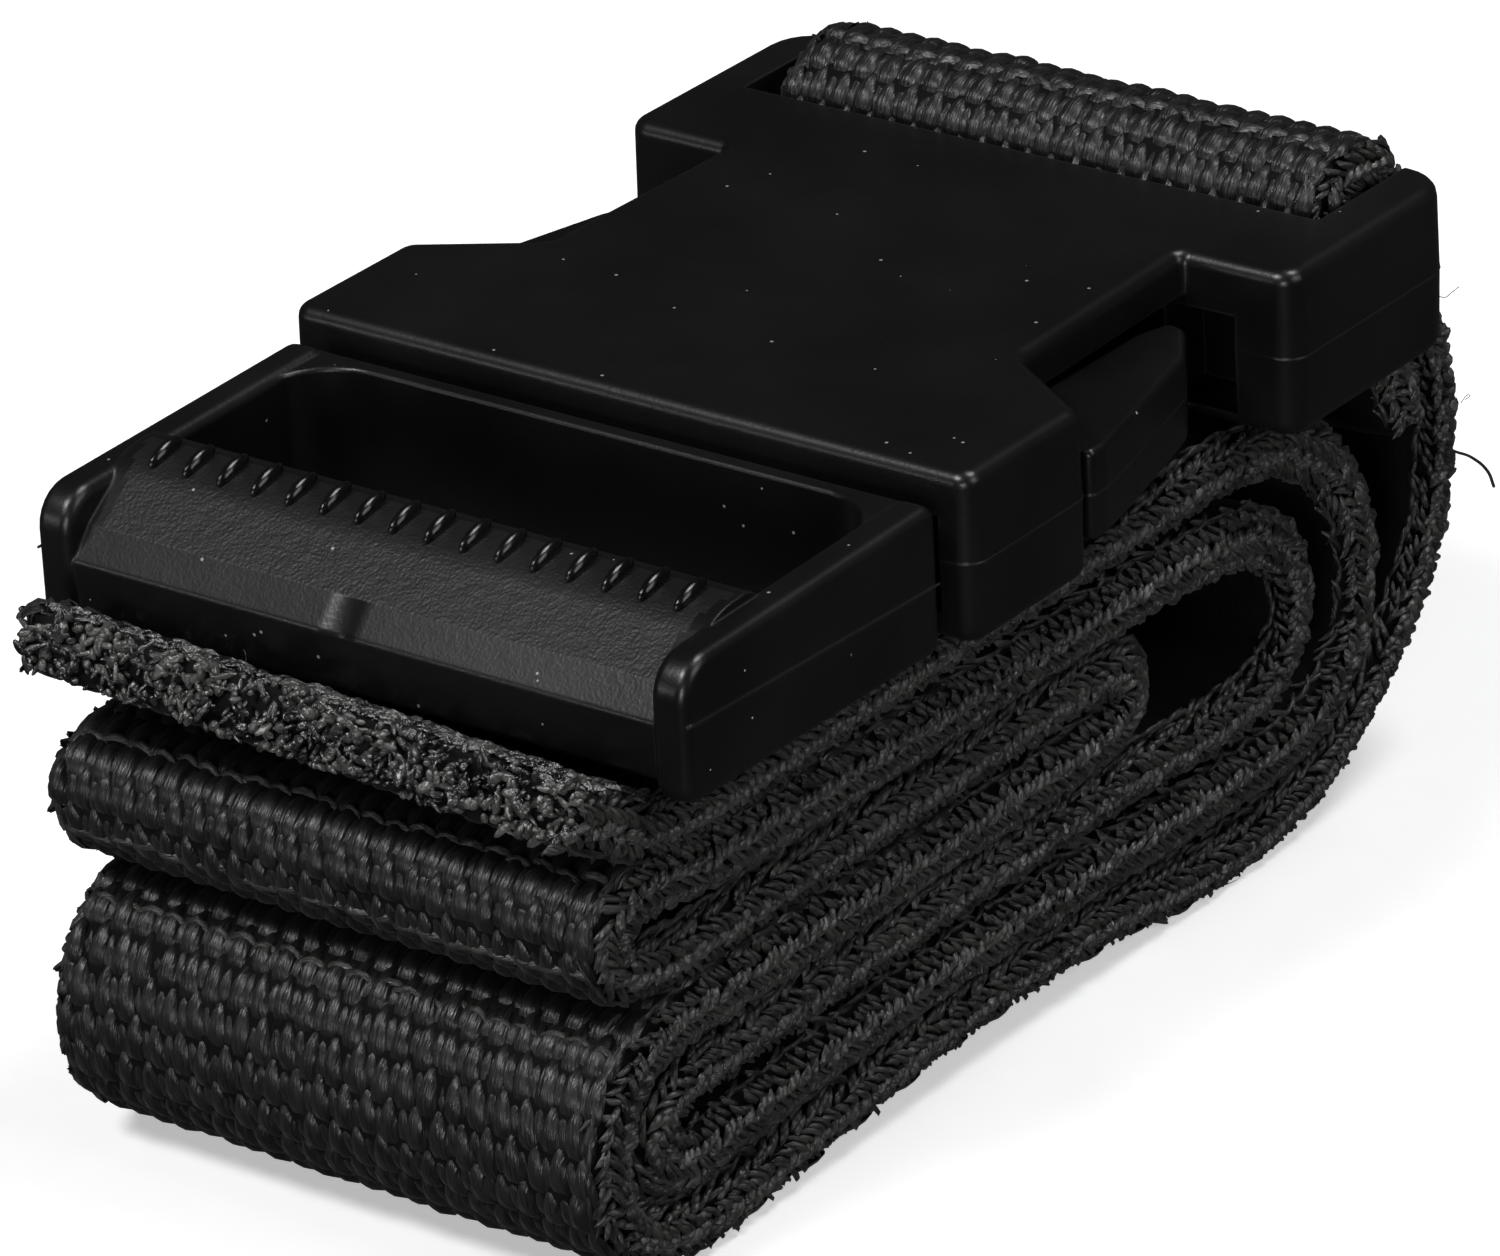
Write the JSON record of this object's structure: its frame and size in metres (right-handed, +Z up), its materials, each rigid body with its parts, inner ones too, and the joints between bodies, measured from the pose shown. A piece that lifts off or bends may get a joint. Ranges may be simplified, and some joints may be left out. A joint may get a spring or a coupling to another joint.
{
  "type": "side_release_buckle",
  "caption": "Wide black side-release belt buckle, closed, with its own thick webbing belt looped on the rear bar and folded under it.",
  "frame": {"origin": "midway between the object's front and rear ends, on its middle plane, on the floor under the belt", "axes": "+Z up out of the buckle's top face, +Y from the plug end to the bar that carries the belt, +X across the buckle to the right when seen from the plug end"},
  "size_m": [0.062, 0.1138, 0.0542],
  "materials": {
    "moulding": "black acetal, fine moulded grain, satin",
    "webbing": "black woven polypropylene, slight sheen",
    "thread": "black bonded sewing thread"
  },
  "bodies": {
    "socket": {"socket": "moulding", "belt": "webbing", "seam_upper": "thread", "seam_lower": "thread"},
    "plug": {"plug": "moulding"},
    "arm_left": {"arm_left": "moulding"},
    "arm_right": {"arm_right": "moulding"}
  },
  "joints": [
    {"name": "plug_slide", "type": "slide", "parent": "socket", "child": "plug", "axis": [0, -1, 0], "range_m": [0, 0.038], "deforming": ["arm_left", "arm_right", "belt"]},
    {"name": "arm_left_press", "type": "hinge", "parent": "plug", "child": "arm_left", "pos_m": [-0.0252, -0.01696, 0.04399], "axis": [0, 0, -1], "range_deg": [0, 12], "stiffness_Nm_per_rad": 1.2},
    {"name": "arm_right_press", "type": "hinge", "parent": "plug", "child": "arm_right", "pos_m": [0.0252, -0.01696, 0.04399], "axis": [0, 0, 1], "range_deg": [0, 12], "stiffness_Nm_per_rad": 1.2}
  ]
}
